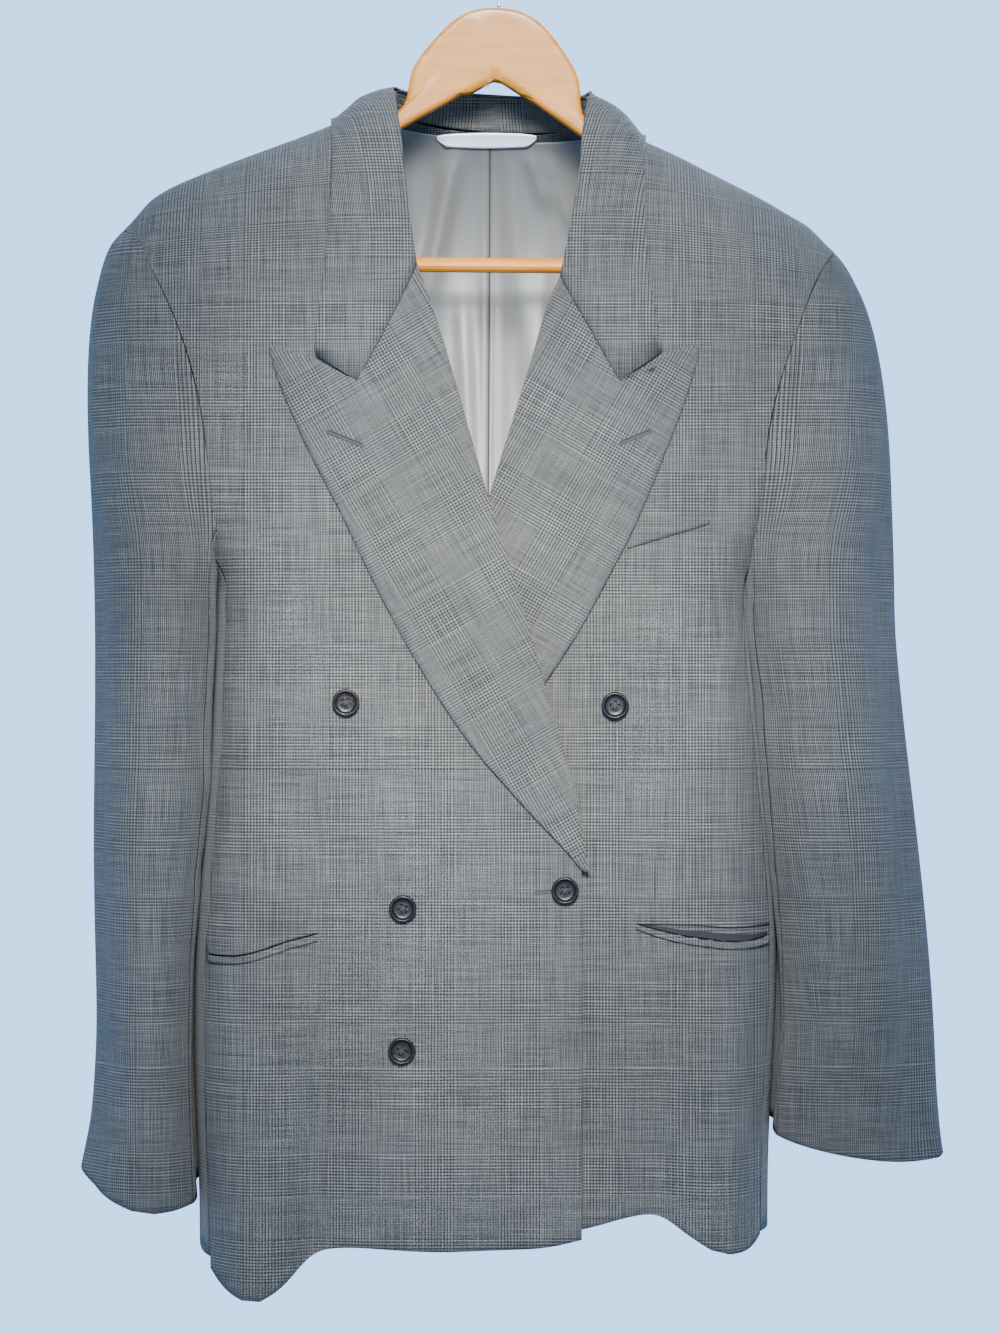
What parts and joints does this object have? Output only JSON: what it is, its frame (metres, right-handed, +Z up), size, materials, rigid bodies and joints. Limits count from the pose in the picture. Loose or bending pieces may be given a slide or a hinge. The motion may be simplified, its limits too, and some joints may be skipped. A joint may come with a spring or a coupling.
{
  "type": "double breasted blazer on a hanger",
  "caption": "Double breasted blazer in glen check worsted with peak lapels and jetted pockets, hanging on a wooden hanger.",
  "frame": {"origin": "inside top of the hook, where the hanger is held", "axes": "+Z up, -Y towards the fronts of the garment, +X towards the wearer's left"},
  "size_m": [0.6007, 0.1524, 0.9436],
  "materials": {
    "check_cloth": "fine worsted glen check, matte",
    "satin_lining": "silver grey satin",
    "woven_label": "woven, bare",
    "dark_horn": "dark marbled horn look",
    "varnished_wood": "clear varnish",
    "plated_steel": "bright plated"
  },
  "bodies": {
    "root": {"front_right": "check_cloth", "side_panel_right": "check_cloth", "back_right": "check_cloth", "upper_sleeve_right": "check_cloth", "under_sleeve_right": "check_cloth", "lapel_right": "check_cloth", "jet_upper_right": "check_cloth", "jet_lower_right": "check_cloth", "lining_right": "satin_lining", "front_left": "check_cloth", "side_panel_left": "check_cloth", "back_left": "check_cloth", "upper_sleeve_left": "check_cloth", "under_sleeve_left": "check_cloth", "lapel_left": "check_cloth", "jet_upper_left": "check_cloth", "jet_lower_left": "check_cloth", "lining_left": "satin_lining", "breast_welt": "check_cloth", "collar_leaf": "check_cloth", "collar_stand": "check_cloth", "neck_label": "woven_label", "button_show_right": "dark_horn", "button_show_left": "dark_horn", "button_fastened": "dark_horn", "button_waist_right": "dark_horn", "button_hip_right": "dark_horn", "cuff_button_right_1": "dark_horn", "cuff_button_right_2": "dark_horn", "cuff_button_left_1": "dark_horn", "cuff_button_left_2": "dark_horn", "hanger_wood": "varnished_wood", "hanger_bar": "varnished_wood", "hanger_hook": "plated_steel"}
  },
  "joints": []
}
